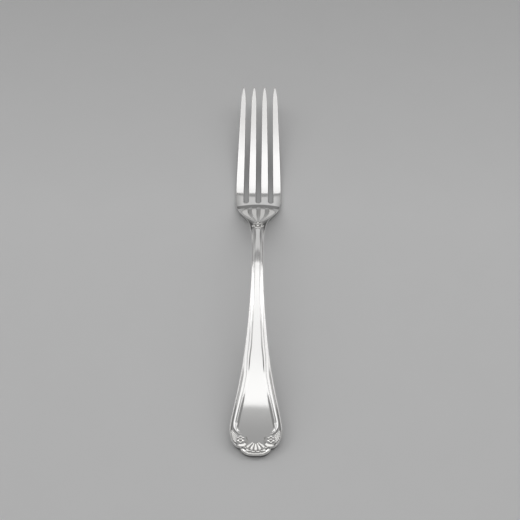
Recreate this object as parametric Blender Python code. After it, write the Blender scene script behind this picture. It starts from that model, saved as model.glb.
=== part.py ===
"""A polished silver fork: four tines, a crowned heel, an arched stem and a broad handle with a
double thread border and a shell-and-scroll end.

Units are metres. +Y runs from the handle end to the tine tips and +Z is up. The fork lies on the
plane z = 0, and the origin is below its middle. A "station" is a distance from the handle end.
Every piece takes its outline and its seat from the same two curves: the plan outline of one side,
and the side profile of the front face.
"""

import math

import bmesh
import bpy
import numpy as np
from mathutils import Vector
from mathutils.geometry import interpolate_bezier

# Lengths along the fork
HANDLE_LENGTH = 0.0821
HEAD_LENGTH = 0.0193
TINE_LENGTH = 0.0531

# Plan outline of the handle
END_WIDTH = 0.0016
LOBE_WIDTH = 0.0102
LOBE_DEPTH = 0.0024
SHOULDER_WIDTH = 0.01766
SHOULDER_RISE = 0.0054
STEM_WIDTH = 0.0043
STEM_TO_NECK = 0.0125
NECK_WIDTH = 0.0054

# Pulls of the outline's curves: shares of a width, and of the length of the stretch
SHOULDER_PULL = 0.10
FLANK_PULL = 0.66
STEM_PULL = 0.40
NECK_PULL = (0.85, 0.30)
HEAD_PULL = (1.30, 0.49)
ROOT_PULL = (0.85, 0.53)

# Tines, at the root of the slots and near the tips
ROOT_PITCH = 0.00494
INNER_TINE_WIDTH = 0.0029
OUTER_TINE_WIDTH = 0.00315
TIP_PITCH = 0.00433
TIP_TINE_WIDTH = 0.0018
TIP_ROUND = 0.008
PITCH_CURVE = 1.2
WIDTH_CURVE = 1.2
TIP_CURVE = 0.5
TIP_BLUNT = 0.97
TIP_THIN = 0.6

# Side profile: heights and slopes of the front face above the table, and the thickness below it
ARCH_HEIGHT = 0.0126
ARCH_TO_NECK = 0.0142
HEEL_HEIGHT = 0.0051
HEEL_PAST_NECK = 0.0122
BELLY_PAST_ROOT = 0.0016
TIP_HEIGHT = 0.0088
END_SLOPE = 0.247
HEEL_SLOPE = -0.615
TIP_SLOPE = 0.25
END_THICKNESS = 0.0024
STEM_THICKNESS = 0.0029
ROOT_THICKNESS = 0.0018
TIP_THICKNESS = 0.0010
HEEL_CROWN = 0.0006
NECK_CROWN = 0.0007
BOWL_CROWN = 0.0008
END_FLAT_DEPTH = 0.0003
BELLY_FLAT_DEPTH = 0.0001

# Pulls of the profile's curves, as shares of each stretch
END_TO_ARCH = (0.47, 0.28)
ARCH_TO_HEEL = (0.62, 0.435)
HEEL_TO_BELLY = (0.40, 0.37)
BELLY_TO_TIP = (0.18, 0.14)

# Edges of the forged pieces, and the joint between two pieces
EDGE_ROUND = 0.00012
BACK_CURL = 0.40
TINE_EASE = 0.20
SEAM_GAP = 0.00005

# Thread border of the handle
RIM_WIDTH = 0.00045
RIM_HEIGHT = 0.00015
GROOVE_WIDTH = 0.00035
THREAD_WIDTH = 0.0024
THREAD_HEIGHT = 0.00020
THREAD_SHARE = 0.6
BORDER_SPLIT = 0.0340
BORDER_BLEND = 0.0090
FLARE_LENGTH = 0.0050
FLARE_INSET = 0.0022
FLARE_TAPER = 0.5
FLARE_SWELL = 1.5

# Ornament of the handle end
ORNAMENT_GAP = 0.00012
LOBE_TILT = 0.09
LATTICE_WIDTH = 0.0017
LATTICE_HEIGHT = 0.00010
LATTICE_PITCH = 0.0007
LATTICE_ENDS = 0.2
ROSETTE_RADIUS = 0.0014
ROSETTE_HEIGHT = 0.00022
ROSETTE_PETALS = 6
ROSETTE_BELOW_SHOULDER = 0.0028
ROSETTE_INSET = 0.0038
SCROLL_WIDTH = 0.0009
SCROLL_HEIGHT = 0.00035
SCROLL_PULL = 0.4
SCROLL_TAPER = 0.5
SCROLL_WIDEST = 0.4
CURL_GAP = 0.0003
CURL_START = 215
CURL_END = 140
FAN_HUB_STATION = 0.0049
FAN_HUB_RADIUS = 0.0012
FAN_GAP = 0.0003
FAN_FLUTES = 5
FAN_HEIGHT = 0.00025

# Ornament of the neck
FLORET_RADIUS = 0.0024
FLORET_HEIGHT = 0.00045
FLORET_PETALS = 7
FLORET_SETBACK = 0.0001

# Flowers, as shares of their radius and height: the boss, and the ring of petals round it
BOSS_REACH = 0.33
PETAL_MIDDLE = 0.72
PETAL_REACH = 0.28
PETAL_NOTCH = 0.24
PETAL_LOW = 0.45
PETAL_HIGH = 0.85

# Fan, as shares of its reach and height: its petals, and the rim beyond them
FLUTE_LOW = 0.40
FLUTE_END = 0.62
FLUTE_EASE = 0.06
FAN_RIM_START = 0.80
FAN_RIM_EASE = 0.18

# The lowest parts of raised pieces, as a share of their height
FOOT = 0.25

SILVER = (0.86, 0.85, 0.83, 1.0)
CHASED_SILVER = (0.70, 0.69, 0.67, 1.0)

# Stations and half widths that follow from these sizes
NECK = HANDLE_LENGTH
ROOT = NECK + HEAD_LENGTH
TIP = ROOT + TINE_LENGTH
ARCH = NECK - ARCH_TO_NECK
HEEL = NECK + HEEL_PAST_NECK
BELLY = ROOT + BELLY_PAST_ROOT
STEM = NECK - STEM_TO_NECK
SHOULDER = LOBE_DEPTH + SHOULDER_RISE
ROOT_HALF_WIDTH = 1.5 * ROOT_PITCH + OUTER_TINE_WIDTH / 2
LOBE_FOOT = LOBE_DEPTH + 0.05 * SHOULDER_RISE
RIM_START = LOBE_DEPTH + 0.2 * SHOULDER_RISE
RIM_END = BORDER_SPLIT - 0.4 * BORDER_BLEND

# The tines' places in pitches and widths at the root, and the middles and radii of the slots between them
TINES = {
    "tine_outer_left": (-1.5, OUTER_TINE_WIDTH),
    "tine_inner_left": (-0.5, INNER_TINE_WIDTH),
    "tine_inner_right": (0.5, INNER_TINE_WIDTH),
    "tine_outer_right": (1.5, OUTER_TINE_WIDTH),
}
ROOT_EDGES = [
    (spot * ROOT_PITCH - width / 2, spot * ROOT_PITCH + width / 2) for spot, width in TINES.values()
]
SLOTS = [((low + high) / 2, (high - low) / 2) for (_, low), (high, _) in zip(ROOT_EDGES, ROOT_EDGES[1:])]

# Places of the ornament: each scroll curls up beside its rosette, and the lattice and the thread's
# tip lie outside them
CURL_RADIUS = ROSETTE_RADIUS + CURL_GAP + SCROLL_WIDTH / 2
LATTICE_INSET = EDGE_ROUND + RIM_WIDTH + ORNAMENT_GAP
ROSETTE_X = SHOULDER_WIDTH / 2 - ROSETTE_INSET
ROSETTE_STATION = SHOULDER - ROSETTE_BELOW_SHOULDER
THREAD_TIP = ROSETTE_STATION + ROSETTE_RADIUS / 2
LATTICE_LOW = LOBE_DEPTH + 0.3 * SHOULDER_RISE
LATTICE_HIGH = THREAD_TIP + 0.45 * FLARE_LENGTH
FLARE_TOP = THREAD_TIP + FLARE_LENGTH
FLORET_STATION = NECK + FLORET_SETBACK + FLORET_RADIUS

ARC_PULL = 0.5523  # Bezier handle of a quarter ellipse, as a share of its span
CURVE_STEPS = 24

# Columns of points across a forged piece, a tine and a round-backed bar, from edge to edge
EDGE_COLUMN = 0.86
FORGED_COLUMNS = (-1.0, -EDGE_COLUMN, -0.45, 0.0, 0.45, EDGE_COLUMN, 1.0)
TINE_COLUMNS = (-1.0, -0.7, 0.0, 0.7, 1.0)
BAR_COLUMNS = (-1.0, -0.6, 0.0, 0.6, 1.0)
SCROLL_COLUMNS = (-1.0, -0.4, 0.2, 0.7, 1.0)

# Rows along a tine: how they crowd towards the root, and their angles round the tip
ROOT_CROWDING = 1.5
TIP_ROWS = np.radians((15, 30, 44, 56, 66, 75, 90))
FAN_ROWS = (0.0, 0.2, 0.4, FLUTE_END - FLUTE_EASE, FLUTE_END, FAN_RIM_START, 0.88, 0.95, 1.0)


def smooth_step(share):
    share = min(1.0, max(0.0, share))
    return share * share * (3 - 2 * share)


def curve(points, steps):
    """Points along one Bezier segment, without its last point."""
    knots = [Vector((*point, 0.0)) for point in points]
    sampled = interpolate_bezier(*knots, steps + 1)
    return [(point.x, point.y) for point in sampled[:-1]]


def arc(start, end, steps):
    """A quarter ellipse that leaves start along the width and reaches end along the length."""
    (x0, s0), (x1, s1) = start, end
    pulls = (x0 + ARC_PULL * (x1 - x0), s0), (x1, s1 - ARC_PULL * (s1 - s0))
    return curve((start, *pulls, end), steps)


def slope_curve(start, end, slopes, pulls, steps):
    """A side-profile segment with a slope and a pull, as a share of its length, at each end."""
    (s0, z0), (s1, z1) = start, end
    first, last = pulls[0] * (s1 - s0), pulls[1] * (s1 - s0)
    knots = start, (s0 + first, z0 + first * slopes[0]), (s1 - last, z1 - last * slopes[1]), end
    return curve(knots, steps)


def handle_outline():
    """Half widths and stations of the handle's right edge, from its end to the neck."""
    corner = END_WIDTH / 2, 0.0
    notch = LOBE_WIDTH / 2, LOBE_DEPTH
    shoulder = SHOULDER_WIDTH / 2, SHOULDER
    stem = STEM_WIDTH / 2, STEM
    neck = NECK_WIDTH / 2, NECK
    flank = STEM - SHOULDER
    flank_pulls = (shoulder[0], SHOULDER + SHOULDER_PULL * flank), (stem[0], STEM - FLANK_PULL * flank)
    stem_pull = stem[0], STEM + STEM_PULL * STEM_TO_NECK
    neck_pull = NECK_PULL[0] * neck[0], NECK - NECK_PULL[1] * STEM_TO_NECK
    points = arc(corner, notch, 6) + arc(notch, shoulder, 9)
    points += curve((shoulder, *flank_pulls, stem), CURVE_STEPS)
    points += curve((stem, stem_pull, neck_pull, neck), 8)
    return np.array([*points, neck])


def head_outline():
    """Half widths and stations of the head's right edge, from the neck to the tine roots."""
    neck = NECK_WIDTH / 2, NECK
    root = ROOT_HALF_WIDTH, ROOT
    neck_pull = HEAD_PULL[0] * neck[0], NECK + HEAD_PULL[1] * HEAD_LENGTH
    root_pull = ROOT_PULL[0] * root[0], ROOT - ROOT_PULL[1] * HEAD_LENGTH
    return np.array([*curve((neck, neck_pull, root_pull, root), 18), root])


def front_profile():
    """Stations and heights of the front face along the middle of the fork."""
    end = 0.0, END_THICKNESS - END_FLAT_DEPTH
    arch = ARCH, ARCH_HEIGHT
    heel = HEEL, HEEL_HEIGHT
    belly = BELLY, ROOT_THICKNESS - BELLY_FLAT_DEPTH
    tip = TIP, TIP_HEIGHT
    points = slope_curve(end, arch, (END_SLOPE, 0.0), END_TO_ARCH, CURVE_STEPS)
    points += slope_curve(arch, heel, (0.0, HEEL_SLOPE), ARCH_TO_HEEL, CURVE_STEPS)
    points += slope_curve(heel, belly, (HEEL_SLOPE, 0.0), HEEL_TO_BELLY, CURVE_STEPS)
    points += slope_curve(belly, tip, (0.0, TIP_SLOPE), BELLY_TO_TIP, CURVE_STEPS)
    return np.array([*points, tip])


HANDLE_EDGE = handle_outline()
HEAD_EDGE = head_outline()
FRONT = front_profile()


def half_width(station):
    edge = HANDLE_EDGE if station <= NECK else HEAD_EDGE
    return float(np.interp(station, edge[:, 1], edge[:, 0]))


def thickness(station):
    stops = (0.0, END_THICKNESS), (ARCH, STEM_THICKNESS), (BELLY, ROOT_THICKNESS), (TIP, TIP_THICKNESS)
    for (before, first), (after, last) in zip(stops, stops[1:]):
        if station <= after:
            return first + (last - first) * smooth_step((station - before) / (after - before))
    return TIP_THICKNESS


def crown(x, station):
    """Drop of the front face beside its middle: the neck and heel are bowed, and the heel's bow dies out
    along the tines."""
    half = half_width(station)
    begun = smooth_step((station - STEM) / STEM_TO_NECK)
    neck = NECK_CROWN * (1 - smooth_step((station - NECK) / HEEL_PAST_NECK))
    heel = HEEL_CROWN * (1 - smooth_step((station - BELLY) / (TIP - BELLY)))
    bowl = BOWL_CROWN * (1 - smooth_step((station - HEEL) / (BELLY - HEEL)))
    bow = (heel + bowl) * (x / ROOT_HALF_WIDTH) ** 2 * half / ROOT_HALF_WIDTH
    return begun * (neck * (x / half) ** 2 + bow)


def front(x, station):
    """Height of the front face."""
    return float(np.interp(station, FRONT[:, 0], FRONT[:, 1])) - crown(x, station)


def at(x, station, height):
    """A point of the fork in its own frame."""
    return Vector((x, station - TIP / 2, height))


def collection(name):
    made = bpy.data.collections.new(name)
    bpy.context.scene.collection.children.link(made)
    return made


def metal(name, colour, roughness):
    material = bpy.data.materials.new(name)
    material.use_nodes = True
    shader = material.node_tree.nodes["Principled BSDF"]
    shader.inputs["Base Color"].default_value = colour
    shader.inputs["Metallic"].default_value = 1.0
    shader.inputs["Roughness"].default_value = roughness
    material.diffuse_color = colour
    return material


def plate(name, across, along, place, group, material):
    """A closed plate: a grid of len(across) by len(along) points, solidified, with each point then
    put where place(across value, along value, is_front) says."""
    columns, rows = len(across) - 1, len(along) - 1
    form = bmesh.new()
    bmesh.ops.create_grid(form, x_segments=columns, y_segments=rows, size=0.5)
    bmesh.ops.solidify(form, geom=form.faces[:], thickness=1.0)
    middle = sum(vertex.co.z for vertex in form.verts) / len(form.verts)
    for vertex in form.verts:
        column = across[round((vertex.co.x + 0.5) * columns)]
        row = along[round((vertex.co.y + 0.5) * rows)]
        vertex.co = place(column, row, vertex.co.z > middle)
    if form.calc_volume(signed=True) < 0:
        bmesh.ops.reverse_faces(form, faces=form.faces[:])
    mesh = bpy.data.meshes.new(name)
    form.to_mesh(mesh)
    form.free()
    mesh.shade_smooth()
    mesh.set_sharp_from_angle(angle=math.radians(40))
    mesh.materials.append(material)
    made = bpy.data.objects.new(name, mesh)
    group.objects.link(made)
    return made


def forged_height(x, inner, station, is_front):
    """Height of a forged piece's front or back at x. Inner runs from 0 at the middle to 1 at the
    edge, where the front is eased and the crowned back curls up to meet it."""
    top = front(x, station)
    if is_front:
        return top - EDGE_ROUND * (abs(inner) == 1.0)
    thick = thickness(station)
    curl = BACK_CURL * thick * abs(inner) ** 4
    return max(top - thick + curl, 0.0)


def make_handle(group, material):
    """The stem and the broad handle in one forging, up to the neck seam."""
    stations = [*HANDLE_EDGE[:-1, 1], NECK - SEAM_GAP / 2]

    def place(inner, station, is_front):
        half = half_width(station)
        x = half * inner
        if is_front and abs(inner) != 1.0:
            x = (half - EDGE_ROUND) * inner / EDGE_COLUMN
        return at(x, station, forged_height(x, inner, station, is_front))

    return plate("handle", FORGED_COLUMNS, stations, place, group, material)


def slot_setback(x):
    """How far the round end of a slot cuts back into the head at x."""
    return max(math.sqrt(max(0.0, radius**2 - (x - middle) ** 2)) for middle, radius in SLOTS)


def head_columns():
    """Places across the head at the tine roots: its edges, the tines' middles and points round each slot."""
    places = [-ROOT_HALF_WIDTH, EDGE_ROUND - ROOT_HALF_WIDTH]
    for (low, high), (middle, radius) in zip(ROOT_EDGES, SLOTS):
        places.append((low + high) / 2)
        places += [middle + radius * math.sin(angle) for angle in np.radians(range(-90, 91, 30))]
    places += [sum(ROOT_EDGES[-1]) / 2, ROOT_HALF_WIDTH - EDGE_ROUND, ROOT_HALF_WIDTH]
    return [x / ROOT_HALF_WIDTH for x in places]


def make_head(group, material):
    """The head, from the neck seam to the tine seams, with the round ends of the slots."""
    shares = (HEAD_EDGE[:, 1] - NECK) / HEAD_LENGTH

    def place(inner, share, is_front):
        first = NECK + SEAM_GAP / 2
        last = ROOT - SEAM_GAP / 2 - slot_setback(inner * ROOT_HALF_WIDTH)
        station = first + share * (last - first)
        x = half_width(station) * inner
        return at(x, station, forged_height(x, inner, station, is_front))

    return plate("head", head_columns(), shares, place, group, material)


def make_tine(name, place_across, root_width, group, material):
    """One tine, from its seam with the head to its pointed tip, with its rows closest at the root and
    the tip. Place_across is counted in pitches from the middle."""
    body = TINE_LENGTH - TIP_ROUND
    reaches = [SEAM_GAP / 2, *(body * share**ROOT_CROWDING for share in np.linspace(0.1, 1.0, 10))]
    reaches += [body + TIP_ROUND * math.sin(angle) for angle in TIP_ROWS]

    def place(inner, reach, is_front):
        station = ROOT + reach
        share = reach / TINE_LENGTH
        pitch = ROOT_PITCH + (TIP_PITCH - ROOT_PITCH) * share**PITCH_CURVE
        width = root_width + (TIP_TINE_WIDTH - root_width) * share**WIDTH_CURVE
        past = min(TIP_BLUNT, max(0.0, (reach - body) / TIP_ROUND))
        closing = (1 - past * past) ** TIP_CURVE
        x = place_across * pitch + width / 2 * closing * inner
        thick = thickness(station) * max(TIP_THIN, closing)
        middle = front(x, station) - thickness(station) / 2
        ease = TINE_EASE * thick * (abs(inner) == 1.0)
        if is_front:
            return at(x, station, middle + thick / 2 - ease)
        return at(x, station, max(middle - thick / 2, 0.0) + ease)

    return plate(name, TINE_COLUMNS, reaches, place, group, material)


def border_path():
    """The handle's right edge from the notch to the neck, as rows of x, station, inward x and
    inward station."""
    edge = HANDLE_EDGE[HANDLE_EDGE[:, 1] >= LOBE_DEPTH]
    run = np.gradient(edge, axis=0)
    inward = np.stack([-run[:, 1], run[:, 0]], axis=1) / np.linalg.norm(run, axis=1)[:, None]
    return np.hstack([edge, inward])


BORDER = border_path()


def inset_point(station, inset):
    """x and station of a point that lies inset from the handle's edge, opposite that station."""
    x, inward_x, inward_station = (
        float(np.interp(station, BORDER[:, 1], BORDER[:, column])) for column in (0, 2, 3)
    )
    return x + inset * inward_x, station + inset * inward_station


def border_share(station):
    """0 on the stem, where one thread runs along the edge, to 1 where the rim has split from it."""
    return smooth_step((BORDER_SPLIT - station) / BORDER_BLEND)


def relief(x, station, height, is_front):
    """A point of an applied piece: its seat on the front face, or that height above it."""
    return at(x, station, front(x, station) + SEAM_GAP + height * is_front)


def bar_height(across, height):
    """A round-backed bar's height: full in the middle, and only its foot at the edges."""
    return height * (FOOT + (1 - FOOT) * math.sqrt(max(0.0, 1 - across * across)))


def border_stations(low, high):
    """The stations of the handle's edge from low to high, with both ends."""
    between = BORDER[(BORDER[:, 1] > low + SEAM_GAP) & (BORDER[:, 1] < high - SEAM_GAP), 1]
    return [low, *between, high]


def make_rim(name, side, group, material):
    """The narrow outer thread, from where it leaves the inner one, round the lobe to the scroll."""
    stations = border_stations(RIM_START, RIM_END)

    def place(across, station, is_front):
        width = RIM_WIDTH * border_share(station)
        x, seat = inset_point(station, EDGE_ROUND + width * (0.5 - across / 2))
        return relief(side * x, seat, bar_height(across, RIM_HEIGHT), is_front)

    return plate(name, BAR_COLUMNS, stations, place, group, material)


def flare_share(station):
    """0 along the inner thread, rising to 1 at its flared tip."""
    return max(0.0, (FLARE_TOP - station) / FLARE_LENGTH)


def thread_bounds(station):
    """How far the inner thread's two edges lie inside the handle's edge."""
    flare = flare_share(station)
    outer = EDGE_ROUND + border_share(station) * (RIM_WIDTH + GROOVE_WIDTH) + FLARE_INSET * flare**2
    width = min(THREAD_WIDTH, THREAD_SHARE * (half_width(station) - EDGE_ROUND))
    return outer, outer + width * (1 - FLARE_TAPER * flare)


def make_thread(name, side, group, material):
    """The broad inner thread, from its flared and swollen tip above the rosette to the neck."""

    def place(across, station, is_front):
        outer, inner = thread_bounds(station)
        x, seat = inset_point(station, outer + (inner - outer) * (0.5 - across / 2))
        height = THREAD_HEIGHT * (1 + FLARE_SWELL * flare_share(station))
        return relief(side * x, seat, bar_height(across, height), is_front)

    return plate(name, BAR_COLUMNS, border_stations(THREAD_TIP, NECK - SEAM_GAP), place, group, material)


def make_lattice(name, side, group, material):
    """The beaded crescent inside the rim of a lobe, from the scroll to the thread's flare. It lies flatter
    than the face."""
    turn = math.pi / LATTICE_PITCH
    _, top = inset_point(LATTICE_HIGH, LATTICE_INSET)

    def place(across, station, is_front):
        share = (station - LATTICE_LOW) / (LATTICE_HIGH - LATTICE_LOW)
        width = LATTICE_WIDTH * (LATTICE_ENDS + (1 - LATTICE_ENDS) * math.sin(math.pi * share))
        x, seat = inset_point(station, LATTICE_INSET + width * (0.5 - across / 2))
        bead = abs(math.sin(turn * (x + seat)) * math.sin(turn * (x - seat)))
        height = LATTICE_HEIGHT * (FOOT + (1 - FOOT) * bead) + LOBE_TILT * max(0.0, top - seat)
        return relief(side * x, seat, height, is_front)

    columns, stations = np.linspace(-1.0, 1.0, 13), np.linspace(LATTICE_LOW, LATTICE_HIGH, 33)
    return plate(name, columns, stations, place, group, material)


def make_flower(name, middle, size, petals, steps, group, material):
    """A small open flower: a boss ringed by petals. Middle is its x and station, and size its radius,
    its height and the slope by which it lies flatter than the face."""
    (x, station), (radius, height, tilt) = middle, size

    def place(across, along, is_front):
        right = across * math.sqrt(1 - along * along / 2)
        ahead = along * math.sqrt(1 - across * across / 2)
        out = math.hypot(right, ahead)
        petal = (1 + math.cos(petals * math.atan2(right, ahead))) / 2
        reach = radius * (1 - PETAL_NOTCH * out * (1 - petal))
        boss = math.exp(-((out / BOSS_REACH) ** 2))
        ring = math.sqrt(max(0.0, 1 - ((out - PETAL_MIDDLE) / PETAL_REACH) ** 2))
        rise = FOOT + (1 - FOOT) * max(boss, ring * (PETAL_LOW + (PETAL_HIGH - PETAL_LOW) * petal))
        lift = height * rise + tilt * (radius - reach * ahead)
        return relief(x + reach * right, station + reach * ahead, lift, is_front)

    grid = np.linspace(-1.0, 1.0, steps)
    return plate(name, grid, grid, place, group, material)


def scroll_path():
    """The middle line of the right scroll: from the notch inwards, then curling up beside its rosette."""
    start = np.array(inset_point(LOBE_FOOT, EDGE_ROUND + SCROLL_WIDTH / 2))
    angles = np.radians(np.linspace(CURL_START, CURL_END, 8))
    centre = np.array((ROSETTE_X, ROSETTE_STATION))
    curl = centre + CURL_RADIUS * np.stack([np.cos(angles), np.sin(angles)], axis=1)
    meets = np.array((math.sin(angles[0]), -math.cos(angles[0])))
    span = SCROLL_PULL * np.linalg.norm(curl[0] - start)
    pulls = start - (span, 0.0), curl[0] - span * meets
    return np.array([*curve((start, *pulls, curl[0]), 9), *curl])


def scroll_line(across):
    """Points along the right scroll, from its upper edge at -1 to its lower edge at 1."""
    path = scroll_path()
    run = np.gradient(path, axis=0)
    run /= np.linalg.norm(run, axis=1)[:, None]
    share = np.linspace(0.0, 1.0, len(path))
    taper = 1 - SCROLL_TAPER * (2 * (share - SCROLL_WIDEST)) ** 2
    offset = across * taper * SCROLL_WIDTH / 2
    return np.stack([path[:, 0] - offset * run[:, 1], path[:, 1] + offset * run[:, 0]], axis=1)


def make_scroll(name, side, group, material):
    """A dished scroll that parts the lobe from the fan, highest near its lower edge."""
    lines = {across: scroll_line(across) for across in SCROLL_COLUMNS}

    def place(across, index, is_front):
        x, seat = lines[across][index]
        dish = FOOT + (1 - FOOT) * (1 + across) / 2
        return relief(side * x, seat, SCROLL_HEIGHT * (dish if across < 1.0 else FOOT), is_front)

    return plate(name, SCROLL_COLUMNS, range(len(lines[1.0])), place, group, material)


def fan_spread():
    """The angle of the fan's flanks to the axis, which leaves a gap beside each scroll."""
    x, station = scroll_line(1.0).T
    ahead = FAN_HUB_STATION - station
    return float(np.min(np.arctan2(x, ahead) - FAN_GAP / np.hypot(x, ahead)))


def lobe_reach(angle):
    """Distance from the fan's hub to the end lobe's edge, less its ease, at an angle to the axis."""
    near, far = FAN_HUB_RADIUS, FAN_HUB_STATION / math.cos(angle)
    for _ in range(30):
        middle = (near + far) / 2
        inside = middle * math.sin(abs(angle)) < half_width(FAN_HUB_STATION - middle * math.cos(angle))
        near, far = (middle, far) if inside else (near, middle)
    return near - EDGE_ROUND


def make_fan(group, material):
    """The shell on the end lobe: petals that rise from the hub, and a raised rim."""
    spread = fan_spread()
    angles = np.linspace(-spread, spread, 6 * FAN_FLUTES + 1)

    def place(angle, share, is_front):
        flute = abs(math.sin(math.pi / 2 * FAN_FLUTES * (1 + angle / spread)))
        reach = FAN_HUB_RADIUS + share * (lobe_reach(angle) - FAN_HUB_RADIUS)
        petal = flute * (FLUTE_LOW + share) * smooth_step((FLUTE_END - share) / FLUTE_EASE)
        rim = smooth_step((share - FAN_RIM_START) / FAN_RIM_EASE)
        rise = FOOT + (1 - FOOT) * min(1.0, max(petal, rim))
        x, station = reach * math.sin(angle), FAN_HUB_STATION - reach * math.cos(angle)
        return relief(x, station, FAN_HEIGHT * rise, is_front)

    return plate("shell_fan", angles, FAN_ROWS, place, group, material)


def main():
    for old in list(bpy.data.objects):
        bpy.data.objects.remove(old, do_unlink=True)
    parts = collection("fork")
    polished = metal("polished_silver", SILVER, 0.08)
    chased = metal("chased_silver", CHASED_SILVER, 0.22)

    make_handle(parts, polished)
    make_head(parts, polished)
    for name, (place_across, root_width) in TINES.items():
        make_tine(name, place_across, root_width, parts, polished)
    for word, side in (("left", -1), ("right", 1)):
        make_rim(f"rim_thread_{word}", side, parts, polished)
        make_thread(f"inner_thread_{word}", side, parts, polished)
        make_lattice(f"lattice_{word}", side, parts, chased)
        make_scroll(f"scroll_{word}", side, parts, chased)
        middle, size = (side * ROSETTE_X, ROSETTE_STATION), (ROSETTE_RADIUS, ROSETTE_HEIGHT, LOBE_TILT)
        make_flower(f"rosette_{word}", middle, size, ROSETTE_PETALS, 13, parts, chased)
    make_fan(parts, chased)
    middle, size = (0.0, FLORET_STATION), (FLORET_RADIUS, FLORET_HEIGHT, 0.0)
    make_flower("neck_floret", middle, size, FLORET_PETALS, 19, parts, chased)


main()
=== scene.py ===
import math

import bmesh
import bpy
import numpy as np
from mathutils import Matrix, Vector


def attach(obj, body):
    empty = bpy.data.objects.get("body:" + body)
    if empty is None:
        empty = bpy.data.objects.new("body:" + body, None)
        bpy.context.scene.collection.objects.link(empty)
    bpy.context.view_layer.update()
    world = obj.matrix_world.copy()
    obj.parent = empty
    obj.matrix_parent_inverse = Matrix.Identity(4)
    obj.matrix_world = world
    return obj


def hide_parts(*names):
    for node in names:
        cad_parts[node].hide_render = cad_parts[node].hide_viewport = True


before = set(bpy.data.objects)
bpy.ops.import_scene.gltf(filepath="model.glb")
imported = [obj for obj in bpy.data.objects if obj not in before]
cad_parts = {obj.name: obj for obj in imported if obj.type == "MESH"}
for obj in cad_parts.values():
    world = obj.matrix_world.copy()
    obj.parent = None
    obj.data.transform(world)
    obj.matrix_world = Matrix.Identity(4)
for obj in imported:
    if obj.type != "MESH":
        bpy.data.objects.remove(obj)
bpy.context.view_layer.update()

# The polished fork. Units are metres, +Y runs from the handle end to the tine tips, and a "station" is
# a distance from the handle end. The sizes repeat those of the solid model, and every finished piece
# replaces the solid of the same name.

# Lengths along the fork
HANDLE_LENGTH = 0.0821
HEAD_LENGTH = 0.0193
TINE_LENGTH = 0.0531

# Plan outline of the handle
END_WIDTH = 0.0016
LOBE_WIDTH = 0.0102
LOBE_DEPTH = 0.0024
SHOULDER_WIDTH = 0.01766
SHOULDER_RISE = 0.0054
STEM_WIDTH = 0.0043
STEM_TO_NECK = 0.0125
NECK_WIDTH = 0.0054

# Pulls of the outline's curves: shares of a width, and of the length of the stretch
SHOULDER_PULL = 0.10
FLANK_PULL = 0.66
STEM_PULL = 0.40
NECK_PULL = (0.85, 0.30)
HEAD_PULL = (1.30, 0.49)
ROOT_PULL = (0.85, 0.53)

# Tines, at the root of the slots and near the tips
ROOT_PITCH = 0.00494
INNER_TINE_WIDTH = 0.0029
OUTER_TINE_WIDTH = 0.00315
TIP_PITCH = 0.00433
TIP_TINE_WIDTH = 0.0018
TIP_ROUND = 0.008
PITCH_CURVE = 1.2
WIDTH_CURVE = 1.2
TIP_CURVE = 0.5

# Side profile: heights and slopes of the front face above the table, and the thickness below it
ARCH_HEIGHT = 0.0126
ARCH_TO_NECK = 0.0142
HEEL_HEIGHT = 0.0051
HEEL_PAST_NECK = 0.0122
BELLY_PAST_ROOT = 0.0016
TIP_HEIGHT = 0.0088
END_SLOPE = 0.247
HEEL_SLOPE = -0.615
TIP_SLOPE = 0.25
END_THICKNESS = 0.0024
STEM_THICKNESS = 0.0029
ROOT_THICKNESS = 0.0018
TIP_THICKNESS = 0.0010
HEEL_CROWN = 0.0006
NECK_CROWN = 0.0007
BOWL_CROWN = 0.0008
END_FLAT_DEPTH = 0.0003
BELLY_FLAT_DEPTH = 0.0001

# Pulls of the profile's curves, as shares of each stretch
END_TO_ARCH = (0.47, 0.28)
ARCH_TO_HEEL = (0.62, 0.435)
HEEL_TO_BELLY = (0.40, 0.37)
BELLY_TO_TIP = (0.18, 0.14)

# Edges: the rounding of the front, and how far in the back's rounding reaches
FRONT_ROUND = 0.0002
END_BACK_ROUND = 0.00012
STEM_BACK_ROUND = 0.0016
HEAD_BACK_ROUND = 0.0002
TIP_BACK_ROUND = 0.0005

# Thread border of the handle
RIM_INSET = 0.00012
RIM_WIDTH = 0.00045
RIM_HEIGHT = 0.00015
GROOVE_WIDTH = 0.00035
THREAD_WIDTH = 0.0024
THREAD_HEIGHT = 0.00020
THREAD_SHARE = 0.6
BORDER_SPLIT = 0.0340
BORDER_BLEND = 0.0090
FLARE_LENGTH = 0.0050
FLARE_INSET = 0.0022
FLARE_TAPER = 0.5
FLARE_SWELL = 1.5

# Section of the threads, as shares of their width and height: the crest on the stem and on the broad
# handle, the bow up to it, the eased outer edge, the engraved line, and how far the edges sink in
STEM_CREST = 0.7
BROAD_CREST = 0.5
THREAD_BOW = 0.5
THREAD_EASE = 0.08
LINE_DEPTH = 0.35
LINE_PLACE = 0.45
LINE_WIDTH = 0.06
THREAD_SINK = 0.1
RIM_SINK = 0.2

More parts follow.
